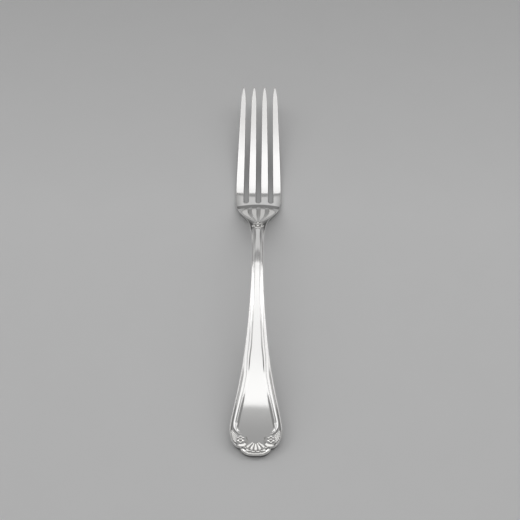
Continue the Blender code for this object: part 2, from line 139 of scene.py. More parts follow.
# Ornament of the handle end
ORNAMENT_GAP = 0.00012
LOBE_TILT = 0.09
LATTICE_WIDTH = 0.0017
LATTICE_HEIGHT = 0.00010
LATTICE_PITCH = 0.0007
LATTICE_ENDS = 0.2
ROSETTE_RADIUS = 0.0014
ROSETTE_HEIGHT = 0.00022
ROSETTE_PETALS = 6
ROSETTE_INSET = 0.0038
ROSETTE_BELOW_SHOULDER = 0.0028
SCROLL_WIDTH = 0.0009
SCROLL_HEIGHT = 0.00035
SCROLL_PULL = 0.4
SCROLL_TAPER = 0.5
SCROLL_WIDEST = 0.4
SCROLL_EASE = 0.25
CURL_GAP = 0.0003
CURL_START = 215
CURL_END = 140
FAN_HUB_STATION = 0.0049
FAN_HUB_RADIUS = 0.0012
FAN_SPREAD = math.radians(58)
FAN_FLUTES = 5
FAN_HEIGHT = 0.00025

# Ornament of the neck
FLORET_RADIUS = 0.0024
FLORET_HEIGHT = 0.00045
FLORET_PETALS = 7
FLORET_SETBACK = 0.0001

# Flowers, as shares of their radius and height: the boss, and the ring of petals round it
BOSS_REACH = 0.33
PETAL_MIDDLE = 0.72
PETAL_REACH = 0.28
PETAL_NOTCH = 0.24
PETAL_LOW = 0.45
PETAL_HIGH = 0.85

# Fan, as shares of its reach and height: its flutes, the beads between their tips, and the rim
FLUTE_END = 0.54
FLUTE_BULGE = 0.10
FLUTE_EASE = 0.08
FLUTE_FULLNESS = 0.4
FLUTE_LOW = 0.4
BEAD_MIDDLE = 0.72
BEAD_REACH = 0.10
BEAD_HIGH = 0.8
FAN_RIM_START = 0.76
FAN_RIM_EASE = 0.16
FAN_RIM_LOW = 0.8
FAN_RIM_HIGH = 0.9

# The lowest parts of lattices and scrolls, as a share of their height, and the depth of all feet
FOOT = 0.25
SEAT_DEPTH = 0.00015

# Painted shade, from 0 to 1, and where it lies: along the back's edges, in the grooves beside the threads,
# by shares of the inner thread's width, and towards the tips, by shares of the tine's length
WALL_BAND = 0.00015
WALL_FADE = 0.0005
RIM_GROOVE_SHADE = 0.8
RIM_GROOVE_END = 0.16
RIM_GROOVE_EASE = 0.12
STEM_GROOVE_SHADE = 0.7
STEM_GROOVE_START = 0.72
STEM_GROOVE_EASE = 0.14
STEM_BLEND = 0.0140
TIP_SHADE = 0.47
TIP_SHADE_START = -0.1
TIP_SHADE_EASE = 0.9

# Painted shade of raised ornament: at its foot, and how fast it fades as the piece rises. The scroll's
# starts at a share of its half width
LATTICE_HOLLOW = (0.35, 1.2)
FLOWER_HOLLOW = (0.9, 1.4)
FAN_HOLLOW = (0.45, 1.2)
SCROLL_HOLLOW = 0.6

# Stations and half widths that follow from these sizes
NECK = HANDLE_LENGTH
ROOT = NECK + HEAD_LENGTH
TIP = ROOT + TINE_LENGTH
ARCH = NECK - ARCH_TO_NECK
HEEL = NECK + HEEL_PAST_NECK
BELLY = ROOT + BELLY_PAST_ROOT
STEM = NECK - STEM_TO_NECK
SHOULDER = LOBE_DEPTH + SHOULDER_RISE
ROOT_HALF_WIDTH = 1.5 * ROOT_PITCH + OUTER_TINE_WIDTH / 2
LOBE_FOOT = LOBE_DEPTH + 0.05 * SHOULDER_RISE
RIM_START = LOBE_DEPTH + 0.1 * SHOULDER_RISE
RIM_END = BORDER_SPLIT - 0.3 * BORDER_BLEND

# The tines' places in pitches and widths at the root, and the middles and radii of the slots between them
TINES = {
    "tine_outer_left": (-1.5, OUTER_TINE_WIDTH),
    "tine_inner_left": (-0.5, INNER_TINE_WIDTH),
    "tine_inner_right": (0.5, INNER_TINE_WIDTH),
    "tine_outer_right": (1.5, OUTER_TINE_WIDTH),
}
ROOT_EDGES = [
    (spot * ROOT_PITCH - width / 2, spot * ROOT_PITCH + width / 2) for spot, width in TINES.values()
]
SLOTS = [((low + high) / 2, (high - low) / 2) for (_, low), (high, _) in zip(ROOT_EDGES, ROOT_EDGES[1:])]

# Places of the ornament: each scroll curls up beside its rosette, and the lattice and the thread's
# tip lie outside them
CURL_RADIUS = ROSETTE_RADIUS + CURL_GAP + SCROLL_WIDTH / 2
GROOVE_INSET = RIM_INSET + RIM_WIDTH + GROOVE_WIDTH / 2
LATTICE_INSET = RIM_INSET + RIM_WIDTH + ORNAMENT_GAP
ROSETTE_X = SHOULDER_WIDTH / 2 - ROSETTE_INSET
ROSETTE_STATION = SHOULDER - ROSETTE_BELOW_SHOULDER
THREAD_TIP = ROSETTE_STATION + ROSETTE_RADIUS / 2
LATTICE_LOW = LOBE_DEPTH + 0.2 * SHOULDER_RISE
LATTICE_HIGH = THREAD_TIP + 0.45 * FLARE_LENGTH
FLARE_TOP = THREAD_TIP + FLARE_LENGTH
FLORET_STATION = NECK + FLORET_SETBACK + FLORET_RADIUS

# Rows and columns of the meshes
HANDLE_ROWS = 260
HANDLE_COLUMNS = 81
HEAD_ROWS = 110
SLOT_COLUMNS = 19
TINE_ROWS = 90
TIP_ROWS = 60
TINE_COLUMNS = 25
RIM_ROWS = 260
RIM_COLUMNS = 13
THREAD_ROWS = 420
THREAD_COLUMNS = 33
LATTICE_ROWS = 90
LATTICE_COLUMNS = 40
FLOWER_POINTS = 71
SCROLL_ROWS = 60
CURL_ROWS = 45
SCROLL_COLUMNS = 21
FAN_ROWS = 81
FAN_COLUMNS = 211

# How columns crowd towards the edges and the head's rows towards the roots, and how late the head's
# columns turn to meet the slots
EDGE_CROWDING = 2.2
ROOT_CROWDING = 1.6
SLOT_TURN = 8

ARC_PULL = 0.5523  # Bezier handle of a quarter ellipse, as a share of its span
CURVE_STEPS = 600
END_STEP = 24  # Steps of the outline between two rows round the handle end
EDGE_STEP = 12  # Steps of the outline between two points of the edge that distances are measured to
BLOCK_SIZE = 1000  # Points measured at once
HALVINGS = 40  # Halvings of the search for the lobe's edge
MERGE = 1e-7  # Points closer together than this are one
HAIR = 1e-6  # Points of the head nearer to an edge than this are on it
SHARP_ANGLE = math.radians(50)


# Curves of the blank

def smooth_step(share):
    share = np.clip(share, 0.0, 1.0)
    return share * share * (3 - 2 * share)


def curve(points, steps=CURVE_STEPS):
    """Points along one Bezier segment, without its last point."""
    a, b, c, d = np.array(points)
    t = np.linspace(0.0, 1.0, steps, endpoint=False)[:, None]
    return a * (1 - t) ** 3 + 3 * b * t * (1 - t) ** 2 + 3 * c * t * t * (1 - t) + d * t**3


def arc(start, end):
    """A quarter ellipse that leaves start along the width and reaches end along the length."""
    (x0, s0), (x1, s1) = start, end
    pulls = (x0 + ARC_PULL * (x1 - x0), s0), (x1, s1 - ARC_PULL * (s1 - s0))
    return curve((start, *pulls, end))


def slope_curve(start, end, slopes, pulls):
    """A side-profile segment with a slope and a pull, as a share of its length, at each end."""
    (s0, z0), (s1, z1) = start, end
    first, last = pulls[0] * (s1 - s0), pulls[1] * (s1 - s0)
    return curve((start, (s0 + first, z0 + first * slopes[0]), (s1 - last, z1 - last * slopes[1]), end))


def outline():
    """Half widths and stations of the right edge, from the handle end to the tine roots."""
    corner = END_WIDTH / 2, 0.0
    notch = LOBE_WIDTH / 2, LOBE_DEPTH
    shoulder = SHOULDER_WIDTH / 2, SHOULDER
    stem = STEM_WIDTH / 2, STEM
    neck = NECK_WIDTH / 2, NECK
    root = ROOT_HALF_WIDTH, ROOT
    flank = STEM - SHOULDER
    flank_pulls = (shoulder[0], SHOULDER + SHOULDER_PULL * flank), (stem[0], STEM - FLANK_PULL * flank)
    stem_pull = stem[0], STEM + STEM_PULL * STEM_TO_NECK
    neck_pull = NECK_PULL[0] * neck[0], NECK - NECK_PULL[1] * STEM_TO_NECK
    head_pull = HEAD_PULL[0] * neck[0], NECK + HEAD_PULL[1] * HEAD_LENGTH
    root_pull = ROOT_PULL[0] * root[0], ROOT - ROOT_PULL[1] * HEAD_LENGTH
    return np.concatenate([
        arc(corner, notch),
        arc(notch, shoulder),
        curve((shoulder, *flank_pulls, stem)),
        curve((stem, stem_pull, neck_pull, neck)),
        curve((neck, head_pull, root_pull, root)),
        [root],
    ])


def front_profile():
    """Stations and heights of the front face along the middle of the fork."""
    end = 0.0, END_THICKNESS - END_FLAT_DEPTH
    arch = ARCH, ARCH_HEIGHT
    heel = HEEL, HEEL_HEIGHT
    belly = BELLY, ROOT_THICKNESS - BELLY_FLAT_DEPTH
    tip = TIP, TIP_HEIGHT
    return np.concatenate([
        slope_curve(end, arch, (END_SLOPE, 0.0), END_TO_ARCH),
        slope_curve(arch, heel, (0.0, HEEL_SLOPE), ARCH_TO_HEEL),
        slope_curve(heel, belly, (HEEL_SLOPE, 0.0), HEEL_TO_BELLY),
        slope_curve(belly, tip, (0.0, TIP_SLOPE), BELLY_TO_TIP),
        [tip],
    ])


OUTLINE = outline()
FRONT = front_profile()
OUTER_EDGE = np.concatenate([[(0.0, 0.0)], OUTLINE[:-1:EDGE_STEP], [OUTLINE[-1], (ROOT_HALF_WIDTH, TIP)]])


def half_width(station):
    return np.interp(station, OUTLINE[:, 1], OUTLINE[:, 0])


def thickness(station):
    stops = (0.0, END_THICKNESS), (ARCH, STEM_THICKNESS), (BELLY, ROOT_THICKNESS), (TIP, TIP_THICKNESS)
    thick = END_THICKNESS
    for (before, first), (after, last) in zip(stops, stops[1:]):
        thick = thick + (last - first) * smooth_step((station - before) / (after - before))
    return thick


def back_round(station):
    """How far in the rounding of the back's edge reaches."""
    stops = (
        (0.0, END_BACK_ROUND), (STEM, STEM_BACK_ROUND), (NECK, STEM_BACK_ROUND),
        ((NECK + HEEL) / 2, HEAD_BACK_ROUND), (TIP, TIP_BACK_ROUND),
    )
    return np.interp(station, *zip(*stops))


def crown(x, station):
    """Drop of the front face beside its middle: the neck and heel are bowed, and the heel's bow dies out
    along the tines."""
    half = half_width(station)
    rising = smooth_step((station - STEM) / STEM_TO_NECK)
    neck = NECK_CROWN * (x / half) ** 2 * rising * (1 - smooth_step((station - NECK) / HEEL_PAST_NECK))
    heel = HEEL_CROWN * (1 - smooth_step((station - BELLY) / (TIP - BELLY)))
    bowl = BOWL_CROWN * (1 - smooth_step((station - HEEL) / (BELLY - HEEL)))
    return neck + (heel + bowl) * rising * (x / ROOT_HALF_WIDTH) ** 2 * half / ROOT_HALF_WIDTH


def front(x, station):
    """Height of the front face."""
    return np.interp(station, FRONT[:, 0], FRONT[:, 1]) - crown(x, station)


def rounding(inside, reach, depth):
    """Drop of a quarter-ellipse edge at a distance inside it."""
    outward = np.clip(1 - inside / reach, 0.0, 1.0)
    return depth * (1 - np.sqrt(1 - outward * outward))


def edge_distance(x, station):
    """Distance from each point to the outer edge of the handle and head."""
    points = np.stack([np.abs(x), station], axis=-1).reshape(-1, 1, 2)
    run = np.diff(OUTER_EDGE, axis=0)
    nearest = []
    for block in np.array_split(points, max(1, len(points) // BLOCK_SIZE)):
        share = ((block - OUTER_EDGE[:-1]) * run).sum(-1) / (run * run).sum(-1)
        gap = block - OUTER_EDGE[:-1] - np.clip(share, 0.0, 1.0)[..., None] * run
        nearest.append(np.sqrt((gap * gap).sum(-1).min(axis=1)))
    return np.concatenate(nearest).reshape(x.shape)


def at(x, station, height):
    """Points of the fork in its own frame."""
    x, station, height = np.broadcast_arrays(x, station, height)
    return np.stack([x, station - TIP / 2, height], axis=-1)


def forged(x, station, inside):
    """Front and back grids of a forged piece, whose edges meet where inside is 0."""
    top = front(x, station)
    thick = thickness(station)
    eased = top - rounding(inside, FRONT_ROUND, FRONT_ROUND)
    back = top - thick + rounding(inside, back_round(station), thick - FRONT_ROUND)
    return at(x, station, eased), at(x, station, np.maximum(back, 0.0))


def wall_tone(inside):
    """Painted shade on a forged piece's walls, standing in for the dark reflection of the table's shadow:
    just the edge of the front, and most at the edge of the back.
    """
    return (inside < MERGE).astype(float), 1 - smooth_step((inside - WALL_BAND) / WALL_FADE)


# Meshes

def closed_mesh(name, top, back, painted_shade):
    """A closed mesh between two grids of points, rows by columns, walled along their rims. The last
    argument, one grid of values for the top and one for the back, is painted shade on hollows, grooves,
    walls and tips."""
    rows, columns = top.shape[:2]
    count = rows * columns
    index = np.arange(count).reshape(rows, columns)
    corners = index[:-1, :-1], index[:-1, 1:], index[1:, 1:], index[1:, :-1]
    quads = np.stack(corners, axis=-1).reshape(-1, 4)
    rim = np.concatenate([index[0, :-1], index[:-1, -1], index[-1, :0:-1], index[:0:-1, 0]])
    after = np.roll(rim, -1)
    walls = np.stack([rim, rim + count, after + count, after], axis=-1)
    faces = np.concatenate([quads, quads[:, ::-1] + count, walls])
    points = np.concatenate([top.reshape(-1, 3), back.reshape(-1, 3)])
    mesh = bpy.data.meshes.new(name)
    mesh.from_pydata(points.tolist(), [], faces.tolist())
    hollow = np.concatenate([np.broadcast_to(grid, (rows, columns)).ravel() for grid in painted_shade])
    # Painted shade, stored on the points for the silver's material to darken it by
    mesh.attributes.new("painted_shade", "FLOAT", "POINT").data.foreach_set("value", hollow.astype(np.float32))
    form = bmesh.new()
    form.from_mesh(mesh)
    bmesh.ops.remove_doubles(form, verts=form.verts[:], dist=MERGE)
    if form.calc_volume(signed=True) < 0:
        bmesh.ops.reverse_faces(form, faces=form.faces[:])
    form.to_mesh(mesh)
    form.free()
    mesh.shade_smooth()
    mesh.set_sharp_from_angle(angle=SHARP_ANGLE)
    return mesh


def add_piece(node, grids, material, painted_shade=(0.0, 0.0)):
    """A finished piece that rides on the part and replaces its solid."""
    mesh = closed_mesh(f"{node}_finish", *grids, painted_shade)
    mesh.materials.append(material)
    piece = bpy.data.objects.new(f"{node}_finish", mesh)
    bpy.context.scene.collection.objects.link(piece)
    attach(piece, "root")
    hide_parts(node)


def edge_spaced(count):
    """Places from -1 to 1, closer together towards both ends."""
    even = np.linspace(-1.0, 1.0, count)
    return np.sign(even) * (1 - (1 - np.abs(even)) ** EDGE_CROWDING)


# Forged pieces

def make_handle(material):
    """The broad handle and the stem, with painted shade along the groove inside the rim."""
    end = OUTLINE[OUTLINE[:, 1] <= SHOULDER]
    stations = np.concatenate([end[::END_STEP, 1], np.linspace(SHOULDER, NECK, HANDLE_ROWS)])[:, None]
    x = half_width(stations) * edge_spaced(HANDLE_COLUMNS)[None, :]
    stations = np.broadcast_to(stations, x.shape)
    inside = edge_distance(x, stations)
    edge, back = wall_tone(inside)
    # Painted shade along the groove between the rim and the inner thread
    in_groove = np.exp(-(((inside - GROOVE_INSET) / GROOVE_WIDTH) ** 2))
    groove = RIM_GROOVE_SHADE * border_share(stations) * in_groove
    add_piece("handle", forged(x, stations, inside), material, (np.maximum(edge, groove), back))


def head_columns():
    """Places across the tine roots: closer together beside the slots, and round the slots' ends."""
    spread = edge_spaced(TINE_COLUMNS)
    columns = [(low + high) / 2 + (high - low) / 2 * spread for low, high in ROOT_EDGES]
    bend = np.sin(np.radians(np.linspace(-90, 90, SLOT_COLUMNS)[1:-1]))
    columns += [middle + radius * bend for middle, radius in SLOTS]
    return np.sort(np.concatenate(columns))[None, :]


def make_head(material):
    """The head, from the neck to the tine roots, with the round ends of the slots. Its front and back
    meet along its sides and round the slots, and nowhere else."""
    across = head_columns()
    setbacks = [np.sqrt(np.maximum(0.0, radius**2 - (across - middle) ** 2)) for middle, radius in SLOTS]
    setback = np.max(setbacks, axis=0)
    share = 1 - (1 - np.linspace(0.0, 1.0, HEAD_ROWS)[:, None]) ** ROOT_CROWDING
    stations = NECK + share * (HEAD_LENGTH - setback)
    at_slot = share**SLOT_TURN * setback / setback.max()
    width = half_width(stations) * (1 - at_slot) + ROOT_HALF_WIDTH * at_slot
    x = across / ROOT_HALF_WIDTH * width
    inside = edge_distance(x, stations)
    for middle, radius in SLOTS:
        inside = np.minimum(inside, np.hypot(x - middle, stations - ROOT) - radius)
    inside = np.where(inside < HAIR, 0.0, inside)
    inside[:-1, 1:-1] = np.maximum(inside[:-1, 1:-1], HAIR)
    add_piece("head", forged(x, stations, inside), material, wall_tone(inside))


def make_tine(name, place, root_width, material):
    """One tine, from its root to its pointed tip. Place is counted in pitches from the middle."""
    body = TINE_LENGTH - TIP_ROUND
    reach = np.concatenate([
        np.linspace(0.0, body, TINE_ROWS, endpoint=False),
        body + TIP_ROUND * np.sin(np.linspace(0.0, math.pi / 2, TIP_ROWS)),
    ])[:, None]
    share = reach / TINE_LENGTH
    pitch = ROOT_PITCH + (TIP_PITCH - ROOT_PITCH) * share**PITCH_CURVE
    width = root_width + (TIP_TINE_WIDTH - root_width) * share**WIDTH_CURVE
    past = np.clip((reach - body) / TIP_ROUND, 0.0, 1.0)
    half = width / 2 * (1 - past * past) ** TIP_CURVE
    across = edge_spaced(TINE_COLUMNS)[None, :]
    x = place * pitch + half * across
    lean = np.gradient(half[:, 0], reach[:, 0])[:, None]
    inside = half * (1 - np.abs(across)) / np.sqrt(1 + lean * lean)
    stations = np.broadcast_to(ROOT + reach, x.shape)
    inside = np.minimum(inside, TIP - stations)
    # Painted shade: the tine's top darkens towards its tip, for a dimmer reflection there, and its back
    # darkens along the walls
    painted_tip_shade = TIP_SHADE * smooth_step((share - TIP_SHADE_START) / TIP_SHADE_EASE)
    back = np.where(inside < MERGE, painted_tip_shade, wall_tone(inside)[1])
    add_piece(name, forged(x, stations, inside), material, (painted_tip_shade, back))


# Thread border

def border_path():
    """The handle's right edge from the notch to the neck: x, station, inward x and inward station."""
    edge = OUTLINE[(OUTLINE[:, 1] >= LOBE_DEPTH) & (OUTLINE[:, 1] <= NECK)]
    run = np.gradient(edge, axis=0)
    inward = np.stack([-run[:, 1], run[:, 0]], axis=1) / np.linalg.norm(run, axis=1)[:, None]
    return np.hstack([edge, inward])


BORDER = border_path()


def inset_point(station, inset):
    """x and station of points that lie inset from the handle's edge, opposite each station."""
    x, inward_x, inward_station = (np.interp(station, BORDER[:, 1], BORDER[:, i]) for i in (0, 2, 3))
    return x + inset * inward_x, station + inset * inward_station


def border_share(station):
    """0 on the stem, where one thread runs along the edge, to 1 where the rim has split from it."""
    return smooth_step((BORDER_SPLIT - station) / BORDER_BLEND)


def seated(x, station, height):
    """Top and foot grids of a raised piece: height above the front face, and just below the face."""
    seat = front(x, station)
    return at(x, station, seat + height), at(x, station, seat - SEAT_DEPTH)


def make_rim(name, side, material):
    """The narrow outer thread, from the scroll round the shoulder to where it joins the inner one."""
    station = np.linspace(RIM_START, RIM_END, RIM_ROWS)[:, None]
    across = np.linspace(0.0, 1.0, RIM_COLUMNS)[None, :]
    x, seat = inset_point(station, RIM_INSET + RIM_WIDTH * border_share(station) * across)
    height = RIM_HEIGHT * (np.sqrt(1 - (2 * across - 1) ** 2) - RIM_SINK)
    add_piece(name, seated(side * x, seat, height), material)


def flare_share(station):
    """0 along the thread, rising to 1 at its flared tip."""
    return np.clip((FLARE_TOP - station) / FLARE_LENGTH, 0.0, 1.0)


def thread_bounds(station):
    """How far the inner thread's two edges lie inside the handle's edge."""
    flare = flare_share(station)
    outer = RIM_INSET + border_share(station) * (RIM_WIDTH + GROOVE_WIDTH) + FLARE_INSET * flare**2
    width = np.minimum(THREAD_WIDTH, THREAD_SHARE * half_width(station))
    return outer, outer + width * (1 - FLARE_TAPER * flare)


def thread_rise(station, across):
    """Height of the inner thread: bowed up to its crest, with an engraved line, and swelling at its tip."""
    crest = STEM_CREST + (BROAD_CREST - STEM_CREST) * border_share(station)
    bow = 1 - THREAD_BOW * (np.clip(crest - across, 0.0, crest) / crest) ** 2
    ridge = bow * smooth_step(across / THREAD_EASE) * smooth_step((1 - across) / (1 - crest))
    line = LINE_DEPTH * np.exp(-(((across - LINE_PLACE) / LINE_WIDTH) ** 2))
    swell = 1 + FLARE_SWELL * flare_share(station)
    return THREAD_HEIGHT * ((ridge - line) * swell - THREAD_SINK)


def thread_groove(station, across):
    """Painted shade on the inner thread's edges: the inner one on the stem, and the outer one beside the
    rim.
    """
    on_stem = smooth_step((station - BORDER_SPLIT) / STEM_BLEND)
    inward = smooth_step((across - STEM_GROOVE_START) / STEM_GROOVE_EASE)
    outward = smooth_step((RIM_GROOVE_END - across) / RIM_GROOVE_EASE)
    return STEM_GROOVE_SHADE * on_stem * inward + RIM_GROOVE_SHADE * border_share(station) * outward


def make_thread(name, side, material):
    """The broad inner thread, from its flared tip beside the scroll up the stem to the neck."""
    station = np.linspace(THREAD_TIP, NECK, THREAD_ROWS)[:, None]
    across = np.linspace(0.0, 1.0, THREAD_COLUMNS)[None, :]
    outer, inner = thread_bounds(station)
    x, seat = inset_point(station, outer + (inner - outer) * across)
    groove = thread_groove(station, across)
    add_piece(name, seated(side * x, seat, thread_rise(station, across)), material, (groove, groove))


# Ornament

def hollow_tone(rise, tones):
    """Painted shade of raised ornament, top and foot: most where it is low, fading as it rises."""
    foot, fade = tones
    hollow = np.clip(foot - fade * rise, 0.0, 1.0)
    return hollow, hollow


def make_lattice(name, side, material):
    """The cross-hatched crescent inside the rim of a shoulder, from the scroll to the thread's flare."""
    station = np.linspace(LATTICE_LOW, LATTICE_HIGH, LATTICE_ROWS)[:, None]
    across = np.linspace(0.0, 1.0, LATTICE_COLUMNS)[None, :]
    share = (station - LATTICE_LOW) / (LATTICE_HIGH - LATTICE_LOW)
    width = LATTICE_WIDTH * (LATTICE_ENDS + (1 - LATTICE_ENDS) * np.sin(math.pi * share))
    x, seat = inset_point(station, LATTICE_INSET + width * across)
    turn = math.pi / LATTICE_PITCH
    beads = np.abs(np.sin(turn * (x + seat)) * np.sin(turn * (x - seat)))
    height = LATTICE_HEIGHT * (FOOT + (1 - FOOT) * beads) + LOBE_TILT * (seat.max() - seat)
    add_piece(name, seated(side * x, seat, height), material, hollow_tone(beads, LATTICE_HOLLOW))


def flower_grid(steps):
    """A square grid drawn round: places right of and ahead of the middle, and their distance out."""
    across, along = np.meshgrid(np.linspace(-1.0, 1.0, steps), np.linspace(-1.0, 1.0, steps))
    right = across * np.sqrt(1 - along * along / 2)
    ahead = along * np.sqrt(1 - across * across / 2)
    return right, ahead, np.minimum(1.0, np.hypot(right, ahead))


def make_flower(name, place, size, petals, tilt, material):
    """A small open flower: a round boss ringed by petals. Place is its x and station, size its radius
    and height, and tilt how much flatter it lies than the face."""
    x, station = place
    radius, height = size
    right, ahead, out = flower_grid(FLOWER_POINTS)
    petal = np.cos(petals * np.arctan2(right, ahead))
    reach = radius * (1 - PETAL_NOTCH * out * (1 - petal) / 2)
    boss = np.exp(-((out / BOSS_REACH) ** 2))
    ring = np.sqrt(np.clip(1 - ((out - PETAL_MIDDLE) / PETAL_REACH) ** 2, 0.0, 1.0))
    crests = PETAL_HIGH * ring * (PETAL_LOW + (1 - PETAL_LOW) * np.sqrt((1 + petal) / 2))
    rise = np.maximum(boss, crests)
    seat = station + reach * ahead
    grids = seated(x + reach * right, seat, height * rise + tilt * (seat.max() - seat))
    add_piece(name, grids, material, hollow_tone(rise, FLOWER_HOLLOW))


def scroll_path():
    """The middle line of the right scroll: from the notch inwards, then curling up beside its rosette."""
    start = np.array(inset_point(LOBE_FOOT, RIM_INSET + SCROLL_WIDTH / 2))
    angles = np.radians(np.linspace(CURL_START, CURL_END, CURL_ROWS))
    centre = np.array((ROSETTE_X, ROSETTE_STATION))
    curl = centre + CURL_RADIUS * np.stack([np.cos(angles), np.sin(angles)], axis=1)
    meets = np.array((math.sin(angles[0]), -math.cos(angles[0])))
    span = SCROLL_PULL * np.linalg.norm(curl[0] - start)
    pulls = start - (span, 0.0), curl[0] - span * meets
    return np.concatenate([curve((start, *pulls, curl[0]), SCROLL_ROWS), curl])


def make_scroll(name, side, material):
    """A raised scroll that parts a shoulder from the fan, highest along the fan's side."""
    path = scroll_path()
    run = np.gradient(path, axis=0)
    run /= np.linalg.norm(run, axis=1)[:, None]
    share = np.linspace(0.0, 1.0, len(path))[:, None]
    taper = 1 - SCROLL_TAPER * (2 * (share - SCROLL_WIDEST)) ** 2
    across = np.linspace(-1.0, 1.0, SCROLL_COLUMNS)[None, :]
    offset = across * taper * SCROLL_WIDTH / 2
    x = path[:, :1] - offset * run[:, 1:]
    seat = path[:, 1:] + offset * run[:, :1]
    dish = (FOOT + (1 - FOOT) * (1 + across) / 2) * smooth_step((1 - across) / SCROLL_EASE)
    # Painted shade along the scroll's low edge
    hollow = smooth_step(-SCROLL_HOLLOW - across)
    add_piece(name, seated(side * x, seat, SCROLL_HEIGHT * dish), material, (hollow, hollow))


def lobe_reach(angle):
    """Distance from the fan's hub to just inside the end lobe's edge, at an angle to the axis."""
    near, far = np.full(angle.shape, FAN_HUB_RADIUS), FAN_HUB_STATION / np.cos(angle)
    for _ in range(HALVINGS):
        middle = (near + far) / 2
        inside = middle * np.sin(np.abs(angle)) < half_width(FAN_HUB_STATION - middle * np.cos(angle))
        near, far = np.where(inside, middle, near), np.where(inside, far, middle)
    return near - RIM_INSET


def fan_rise(angle, share):
    """Height of the fan, from 0 to 1: the flutes, the row of beads and the raised rim."""
    turn = math.pi / 2 * FAN_FLUTES * (1 + angle / FAN_SPREAD)
    flute = np.abs(np.sin(turn))
    tip = FLUTE_END + FLUTE_BULGE * flute
    climb = FLUTE_LOW + (1 - FLUTE_LOW) * share / tip
    petal = flute**FLUTE_FULLNESS * climb * smooth_step((tip - share) / FLUTE_EASE)
    row = np.sqrt(np.clip(1 - ((share - BEAD_MIDDLE) / BEAD_REACH) ** 2, 0.0, 1.0))
    bead = np.abs(np.cos(turn)) * row
    scallop = FAN_RIM_LOW + (1 - FAN_RIM_LOW) * flute
    rim = smooth_step((share - FAN_RIM_START) / FAN_RIM_EASE) * scallop
    return np.maximum(np.maximum(petal, BEAD_HIGH * bead), FAN_RIM_HIGH * rim)


def make_fan(material):
    """The fluted shell on the end lobe, with a row of beads and a raised rim."""
    angle = np.linspace(-FAN_SPREAD, FAN_SPREAD, FAN_COLUMNS)[None, :]
    share = np.linspace(0.0, 1.0, FAN_ROWS)[:, None]
    reach = FAN_HUB_RADIUS + share * (lobe_reach(angle) - FAN_HUB_RADIUS)
    x, station = reach * np.sin(angle), FAN_HUB_STATION - reach * np.cos(angle)
    rise = fan_rise(angle, share)
    add_piece("shell_fan", seated(x, station, FAN_HEIGHT * rise), material, hollow_tone(rise, FAN_HOLLOW))


# Materials

# Silver: its colour, the darkest painted shade mixed into it, and the range of its roughness
POLISHED = ((0.93, 0.925, 0.915, 1.0), (0.05, 0.048, 0.044, 1.0), (0.03, 0.09))
CHASED = ((0.90, 0.89, 0.87, 1.0), (0.22, 0.205, 0.19, 1.0), (0.06, 0.14))

# Patches in the painted shade, rubbing marks along the fork, and faint waves
PAINTED_SHADE_START = 0.25
PATCH_SCALE = 260.0
PATCH_DETAIL = 4.0
PATCH_SHARES = (0.85, 1.0)
MARK_STRETCH = (9000.0, 500.0, 9000.0)
MARK_DETAIL = 2.0
MARK_STRENGTH = 0.15
MARK_DEPTH = 2e-6
WAVE_SCALE = 120.0
WAVE_DETAIL = 1.0
WAVE_STRENGTH = 0.5
WAVE_DEPTH = 1.2e-5

# The table, with painted shade that darkens it towards its far side
TABLE_ROUGHNESS = 0.75
TABLE_SPECULAR = 0.2
TABLE_TONES = (0.775, 0.795)
GRAIN_SCALE = 60.0
GRAIN_DETAIL = 3.0
FADE_Y = (0.02, 0.14)
FADE_SHARES = (1.0, 0.80)


def new_material(name):
    """A material with its node tree and its shader."""
    material = bpy.data.materials.new(name)
    material.use_nodes = True
    return material, material.node_tree, material.node_tree.nodes["Principled BSDF"]


def noise(tree, place, scale, detail):
    """Noise at a place, from 0 to 1."""
    made = tree.nodes.new("ShaderNodeTexNoise")
    made.inputs["Scale"].default_value = scale
    made.inputs["Detail"].default_value = detail
    tree.links.new(place, made.inputs["Vector"])
    return made.outputs["Fac"]


def remap(tree, source, start=(0.0, 1.0), end=(0.0, 1.0)):
    """A source value carried from one range to another."""
    made = tree.nodes.new("ShaderNodeMapRange")
    for name, value in zip(("From Min", "From Max", "To Min", "To Max"), (*start, *end)):
        made.inputs[name].default_value = value
    tree.links.new(source, made.inputs["Value"])
    return made.outputs["Result"]


def product(tree, first, second):
    made = tree.nodes.new("ShaderNodeMath")
    made.operation = "MULTIPLY"
    tree.links.new(first, made.inputs[0])
    tree.links.new(second, made.inputs[1])
    return made.outputs["Value"]


def coordinates(tree, place):
    """The X, Y and Z of a place."""
    made = tree.nodes.new("ShaderNodeSeparateXYZ")
    tree.links.new(place, made.inputs["Vector"])
    return made.outputs


def bump(tree, height, strength, depth):
    made = tree.nodes.new("ShaderNodeBump")
    made.inputs["Strength"].default_value = strength
    made.inputs["Distance"].default_value = depth
    tree.links.new(height, made.inputs["Height"])
    return made


def tone_ramp(tree, source, tones):
    """Grey tones, each at a place from 0 to 1 of a source value."""
    ramp = tree.nodes.new("ShaderNodeValToRGB")
    while len(ramp.color_ramp.elements) < len(tones):
        ramp.color_ramp.elements.new(0.5)
    for element, (position, tone) in zip(ramp.color_ramp.elements, tones):
        element.position = position
        element.color = tone, tone, tone, 1.0
    tree.links.new(source, ramp.inputs["Fac"])
    return ramp.outputs["Color"]


def colour_with_painted_shade(tree, place, base, dark):
    """The silver's colour, darkened by the painted shade stored on the mesh points."""
    painted_shade = tree.nodes.new("ShaderNodeAttribute")
    painted_shade.attribute_name = "painted_shade"
    patches = remap(tree, noise(tree, place, PATCH_SCALE, PATCH_DETAIL), end=PATCH_SHARES)
    ramp = tree.nodes.new("ShaderNodeValToRGB")
    ramp.color_ramp.elements[0].color = base
    ramp.color_ramp.elements[0].position = PAINTED_SHADE_START
    ramp.color_ramp.elements[1].color = dark
    tree.links.new(product(tree, painted_shade.outputs["Fac"], patches), ramp.inputs["Fac"])
    return ramp.outputs["Color"]


